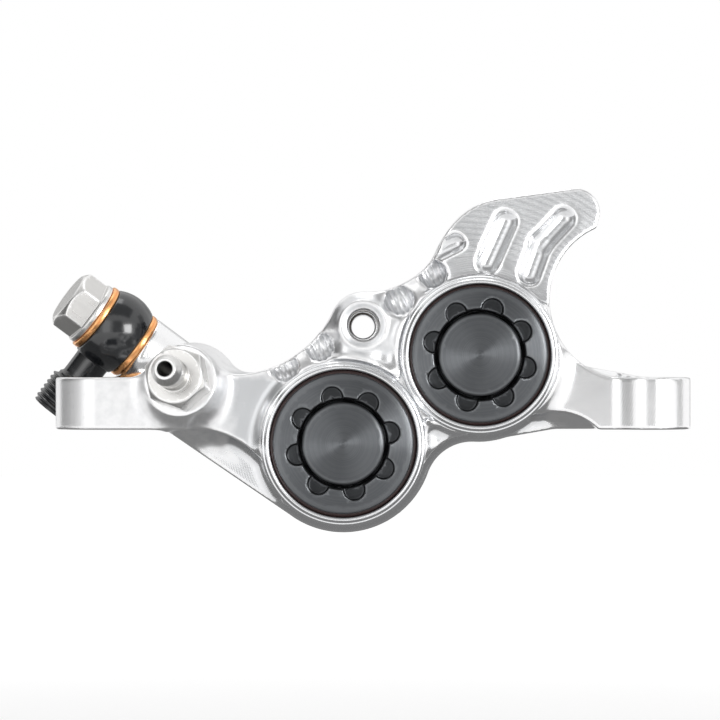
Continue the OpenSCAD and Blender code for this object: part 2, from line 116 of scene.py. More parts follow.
def mesh_arrays(obj):
    mesh = obj.data
    mesh.calc_loop_triangles()
    points = np.zeros(len(mesh.vertices) * 3, np.float32)
    mesh.vertices.foreach_get("co", points)
    corners = np.zeros(len(mesh.loop_triangles) * 3, np.int32)
    mesh.loop_triangles.foreach_get("vertices", corners)
    return points.reshape(-1, 3) / MM, corners.reshape(-1, 3).astype(np.uint32)


class Field:
    """A signed distance, in millimetres, on a block of cells round a solid."""

    def __init__(self, obj, voxel, pad):
        points, triangles = mesh_arrays(obj)
        self.voxel = voxel
        self.transform = vdb.createLinearTransform(voxelSize=voxel)
        self.low = tuple(int(v) for v in np.floor((points.min(0) - pad) / voxel))
        high = np.ceil((points.max(0) + pad) / voxel).astype(int)
        self.shape = tuple(int(v) for v in high - np.array(self.low) + 1)
        self.values = self.measure(points, triangles, "triangles")

    def measure(self, points, faces, kind):
        points = np.ascontiguousarray(points, np.float32)
        grid = vdb.FloatGrid.createLevelSetFromPolygons(
            points, transform=self.transform, halfWidth=BAND, **{kind: faces})
        values = np.zeros(self.shape, np.float32)
        grid.copyToArray(values, ijk=self.low)
        return values

    def grid(self):
        grid = vdb.FloatGrid(BAND * self.voxel)
        grid.transform = self.transform
        grid.copyFromArray(self.values, ijk=self.low)
        return grid

    def rolled(self, radius):
        """The field after a ball of that radius has been rolled round the outside."""
        points, quads = self.grid().convertToQuads(isovalue=radius)
        return self.measure(points, quads, "quads") + radius

    def cells(self):
        axes = [(np.arange(count, dtype=np.float32) + low) * self.voxel
                for count, low in zip(self.shape, self.low)]
        return np.meshgrid(*axes, indexing="ij", sparse=True)

    def blur(self, sigma):
        reach = int(math.ceil(3 * sigma / self.voxel))
        steps = np.arange(-reach, reach + 1)
        weights = np.exp(-0.5 * (steps * self.voxel / sigma) ** 2)
        weights /= weights.sum()
        for axis in range(3):
            out = np.zeros_like(self.values)
            margins = [(reach, reach) if k == axis else (0, 0) for k in range(3)]
            padded = np.pad(self.values, margins, "edge")
            for step, weight in zip(steps, weights):
                part = [slice(None)] * 3
                part[axis] = slice(reach + step, reach + step + self.shape[axis])
                out += weight * padded[tuple(part)]
            self.values = out

    def sample(self, points):
        """The distance between the cells, by weighting the eight nearest."""
        at_cell = points / self.voxel - np.array(self.low)
        base = np.clip(np.floor(at_cell).astype(int), 0, np.array(self.shape) - 2)
        t = at_cell - base
        out = 0
        for i in (0, 1):
            for j in (0, 1):
                for k in (0, 1):
                    w = np.abs(1 - i - t[:, 0]) * np.abs(1 - j - t[:, 1]) * np.abs(1 - k - t[:, 2])
                    out = out + w * self.values[base[:, 0] + i, base[:, 1] + j, base[:, 2] + k]
        return out

    def probe(self, points):
        """Slope and bend of the field at some points, by central differences."""
        slope = np.zeros_like(points)
        bend = -6 * self.sample(points)
        for axis in range(3):
            step = np.zeros(3)
            step[axis] = self.voxel
            ahead, behind = self.sample(points + step), self.sample(points - step)
            slope[:, axis] = (ahead - behind) / (2 * self.voxel)
            bend += ahead + behind
        return slope, bend / self.voxel ** 2


# %% [markdown]
# The field turns back into a mesh where it passes through zero. Normals come from the field's own slope, so that
# flats stay dead flat and fillets shade smoothly. How sharply the surface bends is kept on the points as "edge":
# the finishes below use it to brighten edges that hands and cloths have rubbed, and to paint shade into inner corners.

# %% Skin a field
FULL_EDGE = 2.5


def skin(name, field, adaptivity):
    """A mesh on the field's zero surface, with its points and normals."""
    points, triangles, quads = field.grid().convertToPolygons(adaptivity=adaptivity)
    points = points.astype(np.float64)
    for _ in range(2):
        slope, bend = field.probe(points)
        size = np.maximum(np.linalg.norm(slope, axis=1, keepdims=True), 1e-6)
        normal = slope / size
        depth = np.clip(field.sample(points), -field.voxel, field.voxel)
        points = points - normal * (depth / np.maximum(size[:, 0], 0.3))[:, None]
    mesh = bpy.data.meshes.new(name)
    mesh.from_pydata((points * MM).tolist(), [], quads.tolist() + triangles.tolist())
    mesh.update()
    mesh.shade_smooth()
    mesh.normals_split_custom_set_from_vertices(normal.tolist())
    keep(mesh, "edge", np.clip(bend / FULL_EDGE, -1, 1))
    obj = bpy.data.objects.new(name, mesh)
    scene.collection.objects.link(obj)
    print(name, "faces", len(mesh.polygons))
    return obj, points, normal


def keep(mesh, name, values):
    """Stores one value per point, for a finish to read."""
    kept = mesh.attributes.new(name, "FLOAT", "POINT")
    kept.data.foreach_set("value", values.astype(np.float32))


def stands_for(piece, node):
    """The piece rides with its node's body and hides the node."""
    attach(piece, carrier[node])
    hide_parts(node)


# %% [markdown]
# The same places come back in several cells: the notches along the crown, the grooves in the tail, the bosses.
# They are given along the line of the bores and away from it, as on the drawing of the body.

# %% Places on the body
NOTCHES = [at(-11.95, 12.8), at(-6.5, 12.55), at(5.9, 11.95), at(11.5, 12.5)]
GROOVES = [[at(11, 14.9), at(16.4, 14.3)], [at(18.5, 9.8), at(23.7, 13.1)],
           [at(22.4, 5.4), at(26, 8.1)], [at(26, 8.1), at(30.5, 9.2)]]
GROOVE_R = (1.25, 1.6, 1.55, 1.55)
NOTCH_R = 1.75
FACE_DROP = 2.5
TAIL_TIP = np.array([27.3, 0, 29.2])
TAIL_RAKE = math.radians(10)
BOSS_WALL = 1.2
OUTER_WALL = 2.35
SMALL_BALL = 1.5
LARGE_BALL = 3.0
VOXEL = 0.21
PAD = 3.6


def ramp(value, start, end):
    t = np.clip((value - start) / (end - start), 0, 1)
    return t * t * (3 - 2 * t)


def off_axis(X, Y, Z, origin, direction):
    """Distance from a line, and the way along it."""
    dx, dy, dz = X - origin[0], Y - origin[1], Z - origin[2]
    run = dx * direction[0] + dy * direction[1] + dz * direction[2]
    return np.sqrt(np.maximum(dx * dx + dy * dy + dz * dz - run * run, 0)), run


def off_run(X, Z, start, end):
    """Distance in plan from a straight cut between two points."""
    sx, sz, ex, ez = start[0], start[2], end[0] - start[0], end[2] - start[2]
    t = np.clip(((X - sx) * ex + (Z - sz) * ez) / max(ex * ex + ez * ez, 1e-9), 0, 1)
    return np.hypot(X - sx - t * ex, Z - sz - t * ez)


def tail_face(x, z):
    """Depth of the front face, which leans back along the tail."""
    way = (TAIL_TIP - small_c) * [1, 0, 1]
    way = way / np.linalg.norm(way)
    rise = (x - small_c[0]) * way[0] + (z - small_c[2]) * way[2] - small_cap_r - OUTER_WALL
    return rim_y + FACE_DROP + math.tan(TAIL_RAKE) * np.maximum(rise, 0)


# %% [markdown]
# A ball rolled over everything would also round off what was bored and slotted. A mask says how much of the filling
# each cell takes: nothing at the bores, the pin hole, the slots of the tabs and of the pads, the raked face of the
# tail, and along the bolt and the nipple; all of it elsewhere. The outer arms and the upper half take the larger ball.

# %% Hold back what was bored and slotted
BORE_EASE = (0.6, 1.1)
PIN_EASE = (0.9, 1.6)
TAB_SLOT_HALF = 2.5
TAB_EASE = (3.4, 4.6)
PAD_END = (20.0, 21.5)
SLOT_EASE = (0.4, 1.2)
TAIL_X, TAIL_Z, FRONT_Y = (6, 9), (16, 18), (-2, 0)
body_field = Field(nodes["caliper_body"], VOXEL, PAD)
X, Y, Z = body_field.cells()
free = np.ones(body_field.shape, np.float32)
for centre, radius in bores:
    free *= ramp(np.hypot(X - centre[0], Z - centre[2]), radius + BORE_EASE[0], radius + BORE_EASE[1])
from_pin = np.hypot(X - pin_c[0], Z - pin_c[2])
free *= ramp(from_pin, pin_r + PIN_EASE[0], pin_r + PIN_EASE[1])
for side in (-1, 1):
    free *= ramp(np.hypot(X - side * tab_x, np.maximum(np.abs(Y) - TAB_SLOT_HALF, 0)), *TAB_EASE)
bore_run = (X - pad_mid[0]) * along[0] + (Z - pad_mid[2]) * along[2]
in_slot = (1 - ramp(np.abs(bore_run), *PAD_END)) * ramp(Y, slot_low - SLOT_EASE[1], slot_low - SLOT_EASE[0])
in_slot = in_slot * (1 - ramp(Y, slot_high + SLOT_EASE[0], slot_high + SLOT_EASE[1]))
free *= 1 - in_slot
free *= 1 - ramp(X, *TAIL_X) * ramp(Z, *TAIL_Z) * (1 - ramp(Y, *FRONT_Y))
print("cells", body_field.shape)

# %% Hold back the holes of the bolt and the nipple
HOLE_EASE = (3.2, 3.6)
HOLE_END = (-0.4, 0.4)
LEFT_ARM, RIGHT_ARM, UPPER_HALF = (-21, -17), (21, 25), (6, 8)
for node, origin, direction in (("banjo_bolt", banjo_o, bolt_dir), ("bleed_nipple", nipple_o, nipple_dir)):
    reach = (mesh_arrays(nodes[node])[0] - origin) @ direction
    off, run = off_axis(X, Y, Z, origin, direction)
    beyond = np.maximum(reach.min() - run, run - reach.max())
    free *= np.maximum(ramp(off, *HOLE_EASE), ramp(beyond, *HOLE_END))
    print(node, "reaches from", round(float(reach.min()), 2), "to", round(float(reach.max()), 2))
wide = np.maximum(np.maximum(1 - ramp(X, *LEFT_ARM), ramp(X, *RIGHT_ARM)), ramp(Z, *UPPER_HALF))
print("share free to fill", round(float(free.mean()), 3))

# %% [markdown]
# The ball cuts come after the rolling, so that they stay crisp inside and only their lips are eased: a soft
# maximum of two distances rounds the edge where a cut meets the face. A groove is first filled level with the face
# and then cut afresh, and a notch keeps the ripples of the passes that cleared it.

# %% Ball-nosed cuts
LIP = 0.5
PLUG_EDGE = 0.1
PLUG_HALF = 1.1


def soft_max(a, b, ease):
    """The larger of two distances, eased where they come close."""
    blend = np.clip(0.5 + 0.5 * (a - b) / ease, 0, 1)
    return a * blend + b * (1 - blend) + ease * blend * (1 - blend)


def ball_cut(field, start, end, radius):
    """Cuts along a straight path with a ball, easing the lips."""
    way = np.array(end) - np.array(start)
    length = np.linalg.norm(way)
    off, run = off_axis(X, Y, Z, start, way / length)
    beyond = np.maximum(np.maximum(-run, run - length), 0)
    cut = radius - np.hypot(off, beyond)
    field.values = soft_max(field.values, cut, LIP).astype(np.float32)


def level_groove(field, start, end, radius):
    """Fills a groove level with the face that it lies in."""
    face = tail_face(X, Z)
    plug = np.maximum(off_run(X, Z, start, end) - radius - PLUG_EDGE, np.abs(Y - face - PLUG_HALF) - PLUG_HALF)
    field.values = np.minimum(field.values, plug.astype(np.float32))


# %% Roll the ball
small_fill = body_field.rolled(SMALL_BALL) - body_field.values
large_fill = body_field.rolled(LARGE_BALL) - body_field.values
body_field.values = body_field.values + free * (small_fill + wide * (large_fill - small_fill))
del small_fill, large_fill, free, in_slot, wide
print("cells inside the filled body", int((body_field.values < 0).sum()))

# %% Cut the grooves, the notches and the seats of the rims
GROOVE_RISE = 0.35
NOTCH_STEP = 0.75
NOTCH_RIPPLE = 0.14
NOTCH_ABOVE = 6
NOTCH_BELOW = 1.2
STEP_LEAN = 0.15
RIM_SEAT = (1.42, 1.6)
BORE_JOIN = 1.2
cuts = list(zip(GROOVES, GROOVE_R))
for (start, end), radius in cuts[1:]:
    level_groove(body_field, start, end, radius)
for (start, end), radius in cuts:
    sunk = [p + [0, tail_face(p[0], p[2]) - GROOVE_RISE * radius, 0] for p in (start, end)]
    ball_cut(body_field, *sunk, radius)
step_way = (along - STEP_LEAN * outward) / math.hypot(1, STEP_LEAN)
step_run = (X - pad_mid[0]) * step_way[0] + (Z - pad_mid[2]) * step_way[2]
ripple = NOTCH_RIPPLE * np.cos(2 * math.pi * step_run / NOTCH_STEP)
for place in NOTCHES:
    above, below = rim_y - NOTCH_ABOVE, rim_y + FACE_DROP + NOTCH_BELOW
    ball_cut(body_field, place + [0, above, 0], place + [0, below, 0], NOTCH_R + ripple)
inside = [radius + RIM_SEAT[0] - np.hypot(X - centre[0], Z - centre[2]) for centre, radius in bores]
in_seat = soft_max(*inside, BORE_JOIN)
seat = np.minimum(in_seat, rim_y + RIM_SEAT[1] - Y)
body_field.values = np.maximum(body_field.values, seat.astype(np.float32))
print("grooves", len(GROOVES), "notches", len(NOTCHES))

# %% [markdown]
# The pin hole opens to the front in a shallow flare, which catches light all round. The solid has a steep chamfer
# there, so a collar fills it first, and a flat cone is then cut into the collar. After that every edge is broken.

# %% Flare the pin hole and break the edges
EDGE_BLUR = 0.14
EAR_DROP = 1.0
COLLAR_HALF = 0.8
PIN_FLARE_R = 3.0
PIN_FLARE = math.tan(math.radians(16))
ear_y = rim_y + EAR_DROP
sleeve = np.maximum(pin_r - from_pin, from_pin - PIN_FLARE_R)
collar = np.maximum(sleeve, np.abs(Y - ear_y - COLLAR_HALF) - COLLAR_HALF)
body_field.values = np.minimum(body_field.values, collar.astype(np.float32))
flare = np.minimum(ear_y + (PIN_FLARE_R - from_pin) * PIN_FLARE - Y, PIN_FLARE_R - from_pin)
body_field.values = np.maximum(body_field.values, flare.astype(np.float32))
body_field.blur(EDGE_BLUR)
print("pin hole radius", round(float(pin_r), 2), "flared to", PIN_FLARE_R)

# %% [markdown]
# The ear round the pin hole has a wider rounded edge than the rest, so there the field is blurred once more.
# The zero surface of the finished field is the body that the camera sees.

# %% Round the ear and skin the body
EAR_BLUR = 0.3
EAR_REACH, EAR_HOLE, EAR_BORE = (6.0, 7.0), (3.0, 3.6), (0.3, 1.0)
NOTCH_CLEAR = 0.5
crisp = body_field.values
body_field.blur(EAR_BLUR)
ear = (1 - ramp(from_pin, *EAR_REACH)) * ramp(from_pin, *EAR_HOLE) * ramp(-in_seat, *EAR_BORE)
for place in NOTCHES:
    ear = ear * ramp(np.hypot(X - place[0], Z - place[2]), NOTCH_R, NOTCH_R + NOTCH_CLEAR)
body_field.values = (crisp + ear * (body_field.values - crisp)).astype(np.float32)
milled_body, points, normal = skin("milled_body", body_field, 0.0)
stands_for(milled_body, "caliper_body")

# %% [markdown]
# The rims of the bores are what the eye follows: a bevel at the mouth, a narrow flat, a step and a second bevel,
# all within a millimetre and finer than the field's cells. They are turned as rings from a drawn profile and sit
# in seats left for them in the body.

# %% Rims of the bores
RIM_PROFILE = [(0.05, 2.6), (0.05, 0.24), (0.09, 0.16), (0.20, 0.05), (0.28, 0.0), (0.44, 0.0), (0.51, 0.04),
               (0.74, 0.27), (0.78, 0.34), (0.78, 0.80), (0.80, 0.86), (0.86, 0.88), (0.95, 0.88), (1.00, 0.91),
               (1.22, 1.20), (1.25, 1.28), (1.25, 2.6)]
AROUND = 240
RIM_SHARP = math.radians(40)


def turned_ring(name, centre, cap_r):
    """A ring spun round a bore from the profile of its rim."""
    angle = np.arange(AROUND) * 2 * math.pi / AROUND
    spin = [np.stack([centre[0] + (cap_r + r) * np.cos(angle), np.full(AROUND, rim_y + y),
                      centre[2] + (cap_r + r) * np.sin(angle)], 1) for r, y in RIM_PROFILE]
    rows = len(RIM_PROFILE)
    faces = []
    for i in range(rows):
        here, there = i * AROUND, (i + 1) % rows * AROUND
        for j in range(AROUND):
            ahead = (j + 1) % AROUND
            faces.append((here + j, there + j, there + ahead, here + ahead))
    mesh = bpy.data.meshes.new(name)
    mesh.from_pydata((np.concatenate(spin) * MM).tolist(), [], faces)
    mesh.update()
    mesh.shade_smooth()
    mesh.set_sharp_from_angle(angle=RIM_SHARP)
    ring = bpy.data.objects.new(name, mesh)
    scene.collection.objects.link(ring)
    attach(ring, carrier["caliper_body"])
    print(name, "faces", len(mesh.polygons))
    return ring


bore_rims = [turned_ring(size + "_bore_rim", *bore) for size, bore in zip(("large", "small"), bores)]

# %% [markdown]
# Different cutters left different marks. The tail's front was faced by a tool that swung in wide arcs, the notches
# were stepped out with a small ball, and the rest was swept round the two bores. Each region is kept on the points
# as a mask from 0 to 1, and the body's finish puts the right marks into it.

# %% Where each cutter went
FACING_FRONT = (0.9, 0.98)
TAIL_FROM_X, TAIL_FROM_Z, TAIL_FROM_BORE = (8, 10), (18, 20), (1.6, 3.4)
NOTCH_MASK = (-0.1, 0.2)
CROWN_OUT, CROWN_ALONG = (5, 8), (10, 13)
BORE_SIDES = (-2, 2)
px, py, pz = points.T
from_small = np.hypot(px - small_c[0], pz - small_c[2]) - small_cap_r - BOSS_WALL
from_large = np.hypot(px - large_c[0], pz - large_c[2]) - large_cap_r - BOSS_WALL
fronting = ramp(-normal[:, 1], *FACING_FRONT)
tail = fronting * ramp(pz, *TAIL_FROM_Z) * ramp(px, *TAIL_FROM_X) * ramp(from_small, *TAIL_FROM_BORE)
notched = np.zeros(len(points))
for place in NOTCHES:
    near = off_run(px, pz, place, place)
    notched = np.maximum(notched, 1 - ramp(near, NOTCH_R + NOTCH_MASK[0], NOTCH_R + NOTCH_MASK[1]))
in_front = 1 - ramp(py, *FRONT_Y)
from_mid = points - pad_mid
crown = in_front * ramp(from_mid @ outward, *CROWN_OUT) * (1 - ramp(from_mid @ along, *CROWN_ALONG))
keep(milled_body.data, "tail", tail)
keep(milled_body.data, "notched", notched * in_front)
keep(milled_body.data, "crown", crown * (1 - notched))
keep(milled_body.data, "small_side", ramp(from_large - from_small, *BORE_SIDES))
print("points on the tail", int((tail > 0.5).sum()), "in the notches", int((notched > 0.5).sum()))

# %% [markdown]
# The turned pieces go the same way at a finer scale: the solid's field, a blur that breaks the edges, and cuts
# that are too fine for the solid, such as the thread on the hose stem. A cap's face falls away a few degrees towards
# its rim, so that one side of it looks at the light and the other away from it. How deep a point lies below that face
# is kept as "sunk", for the finish to paint shade into the sockets with, darker the deeper they go.

# %% Bore caps
CAP_VOXEL = 0.13
SMALL_PAD = 0.8
FINE_SKIN = 0.01
CAP_BLUR = 0.07
CAP_EDGE = 0.62
CAP_BEVEL = math.tan(math.radians(24))
CROWN = math.tan(math.radians(6.5))
CROWN_FROM = 5.8
CROWN_START = 2
MOAT = (5.85, 0.32, 3.6)
BUTTON_EDGE = 5.08
BUTTON_BEVEL = math.tan(math.radians(18))
# SUNK: the depths below the face over which the sockets' painted shade comes in
SUNK = (0.5, 1.9)


def crowned(field, centre, radius):
    """Lets a cap's face fall away from the button, bevels rim and button, and opens the moat between."""
    X, Y, Z = field.cells()
    r = np.hypot(X - centre[0], Z - centre[2])
    fall = (r - CROWN_FROM) * CROWN
    bevel = fall + np.maximum(r - radius + CAP_EDGE, 0) * CAP_BEVEL
    face = np.minimum(rim_y + bevel - Y, (r - CROWN_FROM) * CROWN_START)
    button = np.minimum(rim_y + (r - BUTTON_EDGE) * BUTTON_BEVEL - Y, CROWN_FROM - r)
    face = np.maximum(face, np.minimum(button, r - BUTTON_EDGE))
    middle, half, depth = MOAT
    moat = half - np.abs(r - middle) - half * (Y - rim_y) / depth
    field.values = np.maximum(field.values, np.maximum(face, moat).astype(np.float32))


for size, (centre, radius) in zip(("large", "small"), bores):
    node = size + "_bore_cap"
    cap_field = Field(nodes[node], CAP_VOXEL, SMALL_PAD)
    crowned(cap_field, centre, radius)
    cap_field.blur(CAP_BLUR)
    turned_cap, cap_points, _ = skin("turned_" + node, cap_field, FINE_SKIN)
    # painted shade: depth below the face, by which the finish darkens the sockets
    keep(turned_cap.data, "sunk", ramp(cap_points[:, 1], rim_y + SUNK[0], rim_y + SUNK[1]))
    stands_for(turned_cap, node)

# %% Hose fitting with its threaded stem
FINE_VOXEL = 0.1
BANJO_PAD, BANJO_BALL, BANJO_BLUR = 1.6, 1.2, 0.08
THREAD_PITCH = 0.75
THREAD_DEPTH = 0.32
THREAD_LENGTH = 4.6
THREAD_FADE = 0.4
STEM_SKIN, STEM_EASE, BOLT_EASE = (2.6, 2.9), (2.6, 2.7), (3.4, 3.8)
banjo_field = Field(nodes["banjo_fitting"], FINE_VOXEL, BANJO_PAD)
X, Y, Z = banjo_field.cells()
from_stem, run = off_axis(X, Y, Z, hose_o, -stem_dir)
side = np.cross(stem_dir, [0, 1, 0])
turn = np.arctan2(Y - hose_o[1], (X - hose_o[0]) * side[0] + (Z - hose_o[2]) * side[2])
ridge = 0.5 + 0.5 * np.cos(2 * math.pi * run / THREAD_PITCH + turn)
on_thread = (1 - ramp(run, THREAD_LENGTH - THREAD_FADE, THREAD_LENGTH)) * ramp(from_stem, *STEM_SKIN)
rolled = banjo_field.rolled(BANJO_BALL)
near_bolt = off_axis(X, Y, Z, banjo_o, bolt_dir)[0]
fill = ramp(near_bolt, *BOLT_EASE) * ramp(from_stem, *STEM_EASE)
banjo_field.values = banjo_field.values + fill * (rolled - banjo_field.values)
banjo_field.values = (banjo_field.values + THREAD_DEPTH * ridge * on_thread).astype(np.float32)
banjo_field.blur(BANJO_BLUR)
gloss_banjo, _, _ = skin("gloss_banjo", banjo_field, FINE_SKIN)
stands_for(gloss_banjo, "banjo_fitting")

# %% Bolt, washers and nipple
BROKEN_EDGES = {"banjo_bolt": ("hex_bolt", 0.09), "head_copper_washer": ("crush_washer_head", 0.13),
                "body_copper_washer": ("crush_washer_body", 0.13), "bleed_nipple": ("barbed_nipple", 0.07)}
for node, (name, edge) in BROKEN_EDGES.items():
    small_field = Field(nodes[node], FINE_VOXEL, SMALL_PAD)
    small_field.blur(edge)
    small_piece, _, _ = skin(name, small_field, FINE_SKIN)
    stands_for(small_piece, node)

# %% [markdown]
# Finishes share a few effects: the cusps that a cutter leaves between passes, a soft mottle, fine scratches, and
# rubbed edges with painted shade in the inner corners. Each is a node group with named inputs, built once and placed
# in every material that needs it.

# %% Small helpers for node trees
def put(tree, kind, values=None, **settings):
    """Adds a node. Values may be numbers or the sockets that feed them."""
    node = tree.nodes.new("ShaderNode" + kind)
    for key, value in settings.items():
        setattr(node, key, value)
    for key, value in (values or {}).items():
        if isinstance(value, bpy.types.NodeSocket):
            tree.links.new(value, node.inputs[key])
        else:
            node.inputs[key].default_value = value
    return node


def math_node(tree, operation, a, b=0.0):
    return put(tree, "Math", {0: a, 1: b}, operation=operation).outputs[0]


def new_group(name, inputs, outputs):
    """An empty group with named sockets, given as name to (kind, default)."""
    group = bpy.data.node_groups.new(name, "ShaderNodeTree")
    for socket, (kind, default) in inputs.items():
        made = group.interface.new_socket(socket, in_out="INPUT", socket_type="NodeSocket" + kind)
        made.default_value = default
    for socket in outputs:
        group.interface.new_socket(socket, in_out="OUTPUT", socket_type="NodeSocketFloat")
    return group, group.nodes.new("NodeGroupInput").outputs, group.nodes.new("NodeGroupOutput").inputs


# %% Cutter rings
rings, given, result = new_group(
    "cutter_rings",
    {"Centre": ("Vector", (0, 0, 0)), "Axis": ("Vector", (0, 1, 0)), "Pitch": ("Float", 0.0005),
     "Waver": ("Float", 0.1)},
    ["Height", "Shade"])
place = put(rings, "TexCoord").outputs["Object"]
arm = put(rings, "VectorMath", {0: place, 1: given["Centre"]}, operation="SUBTRACT").outputs["Vector"]
across = put(rings, "VectorMath", {0: arm, 1: given["Axis"]}, operation="CROSS_PRODUCT").outputs["Vector"]
radius = put(rings, "VectorMath", {0: across}, operation="LENGTH").outputs["Value"]
noise = put(rings, "TexNoise", {"Vector": place, "Scale": 700.0, "Detail": 2.0}).outputs["Fac"]
passes = math_node(rings, "ADD", math_node(rings, "DIVIDE", radius, given["Pitch"]),
                   math_node(rings, "MULTIPLY", noise, given["Waver"]))
saw = math_node(rings, "FRACT", passes)
swing = math_node(rings, "SUBTRACT", math_node(rings, "MULTIPLY", saw, 2.0), 1.0)
rings.links.new(math_node(rings, "MULTIPLY", swing, swing), result["Height"])
lane = put(rings, "TexWhiteNoise", {"W": math_node(rings, "FLOOR", passes)}, noise_dimensions="1D")
rings.links.new(lane.outputs["Value"], result["Shade"])

# %% Mottle, scratches, rubbed edges and painted corner shade
mottle, given, result = new_group("mottle", {"Scale": ("Float", 300.0)}, ["Cloud", "Grain"])
place = put(mottle, "TexCoord").outputs["Object"]
cloud = put(mottle, "TexNoise", {"Vector": place, "Scale": given["Scale"], "Detail": 3.0})
fine_scale = math_node(mottle, "MULTIPLY", given["Scale"], 14.0)
grain = put(mottle, "TexNoise", {"Vector": place, "Scale": fine_scale})
mottle.links.new(cloud.outputs["Fac"], result["Cloud"])
mottle.links.new(grain.outputs["Fac"], result["Grain"])

scratches, given, result = new_group(
    "fine_scratches", {"Stretch": ("Vector", (300, 9000, 9000)), "Amount": ("Float", 0.5)}, ["Height"])
place = put(scratches, "TexCoord").outputs["Object"]
drawn = put(scratches, "VectorMath", {0: place, 1: given["Stretch"]}, operation="MULTIPLY").outputs["Vector"]
lines = put(scratches, "TexNoise", {"Vector": drawn, "Scale": 1.0, "Detail": 3.0}).outputs["Fac"]
thin = put(scratches, "MapRange", {"Value": lines, "From Min": 0.45, "From Max": 0.7}).outputs["Result"]
scratches.links.new(math_node(scratches, "MULTIPLY", thin, given["Amount"]), result["Height"])

wear_and_shade_group, given, result = new_group("rubbed_edges", {"Reach": ("Float", 0.6)}, ["Edge", "Corner"])
bend = put(wear_and_shade_group, "Attribute", attribute_name="edge").outputs["Fac"]
place = put(wear_and_shade_group, "TexCoord").outputs["Object"]
patch = put(wear_and_shade_group, "TexNoise", {"Vector": place, "Scale": 900.0, "Detail": 2.0}).outputs["Fac"]
swing = math_node(wear_and_shade_group, "SUBTRACT", math_node(wear_and_shade_group, "MULTIPLY", patch, 0.5), 0.25)
uneven = math_node(wear_and_shade_group, "ADD", bend, swing)
lit = put(wear_and_shade_group, "MapRange", {"Value": uneven, "From Min": 0.08, "From Max": given["Reach"]})
wear_and_shade_group.links.new(lit.outputs["Result"], result["Edge"])
# painted shade: where the surface bends inwards, the corner gets darker
corner_darkening = put(wear_and_shade_group, "MapRange", {"Value": bend, "From Min": -0.05, "From Max": -0.7})
wear_and_shade_group.links.new(corner_darkening.outputs["Result"], result["Corner"])
print("node groups", [group.name for group in bpy.data.node_groups])


# %% [markdown]
# A finish starts from a Principled shader. Plain numbers sit on its own sockets; only what changes over the
# surface comes in through the groups.

# %% Start of a finish
def new_finish(name, **sockets):
    material = bpy.data.materials.new(name)
    material.use_nodes = True
    tree = material.node_tree
    shader = tree.nodes["Principled BSDF"]
    for key, value in sockets.items():
        shader.inputs[key.replace("_", " ").title().replace("Ior", "IOR")].default_value = value
    return material, tree, shader


def group_node(tree, group, **values):
    return put(tree, "Group", {key.title(): value for key, value in values.items()}, node_tree=group).outputs


def mix_color(tree, factor, a, b):
    node = put(tree, "Mix", {0: factor, 6: a, 7: b}, data_type="RGBA")
    return node.outputs[2]


def spread(tree, factor, low, high):
    """A value between low and high, as the factor goes from 0 to 1."""
    return put(tree, "MapRange", {"Value": factor, "To Min": low, "To Max": high}).outputs["Result"]


def layered(tree, *layers):
    """Adds values up, each with its own weight and, where one is given, its mask."""
    total = None
    for value, weight, mask in layers:
        part = math_node(tree, "MULTIPLY", value, weight)
        if mask is not None:
            part = math_node(tree, "MULTIPLY", part, mask)
        total = part if total is None else math_node(tree, "ADD", total, part)
    return total


def attribute(tree, name):
    return put(tree, "Attribute", attribute_name=name).outputs["Fac"]


def bump(tree, shader, height, depth_mm):
    """Raises the surface by so many millimetres where the height is 1."""
    node = put(tree, "Bump", {"Height": height, "Strength": 1.0, "Distance": depth_mm * MM})
    tree.links.new(node.outputs["Normal"], shader.inputs["Normal"])


def metres(point):
    return tuple(float(v) * MM for v in point)


# %% Polished aluminium
TAIL_SWING = (11.5, 0, 3)
TAIL_PITCH = 0.8
SWEEP_PITCH = 0.3
FAR = 400
ALUMINIUM = ((0.79, 0.80, 0.815, 1), (0.87, 0.875, 0.885, 1))
CUTTER_GREY = (0.50, 0.512, 0.525, 1)
RUBBED_BRIGHT = (0.94, 0.94, 0.945, 1)
# the grey of the painted shade in the body's inner corners
PAINTED_CORNER_SHADE = (0.66, 0.66, 0.67, 1)
MARK_DEPTH = 0.02

body_finish, tree, shader = new_finish("polished_aluminium", metallic=1.0)
step_centre = pad_mid - FAR * (along - STEP_LEAN * outward)
tail_arcs = group_node(tree, rings, centre=metres(TAIL_SWING), pitch=TAIL_PITCH * MM, waver=0.04)
notch_steps = group_node(tree, rings, centre=metres(step_centre), pitch=NOTCH_STEP * MM, waver=0.1)
large_sweep = group_node(tree, rings, centre=metres(large_c), pitch=SWEEP_PITCH * MM, waver=0.5)
small_sweep = group_node(tree, rings, centre=metres(small_c), pitch=SWEEP_PITCH * MM, waver=0.5)
haze = group_node(tree, mottle, scale=260.0)
lines = group_node(tree, scratches, stretch=(900, 900, 14000), amount=0.5)
wear_and_shade = group_node(tree, wear_and_shade_group, reach=0.7)
on_tail = attribute(tree, "tail")
in_notch = attribute(tree, "notched")
on_crown = attribute(tree, "crown")
sides = {0: attribute(tree, "small_side"), 2: large_sweep["Height"], 3: small_sweep["Height"]}
sweep = put(tree, "Mix", sides).outputs[0]

# %% Marks, colour and roughness of the aluminium
height = layered(tree, (tail_arcs["Height"], 0.3, on_tail), (notch_steps["Height"], 0.3, in_notch),
                 (sweep, 0.12, None), (lines["Height"], 0.08, None), (haze["Grain"], 0.04, None))
bump(tree, shader, height, MARK_DEPTH)
stripes = layered(tree, (tail_arcs["Height"], 0.5, on_tail), (notch_steps["Height"], 0.8, in_notch),
                  (in_notch, 0.25, None), (on_crown, 0.65, None))
swung = mix_color(tree, stripes, mix_color(tree, haze["Cloud"], *ALUMINIUM), CUTTER_GREY)
worn = mix_color(tree, wear_and_shade["Edge"], swung, RUBBED_BRIGHT)
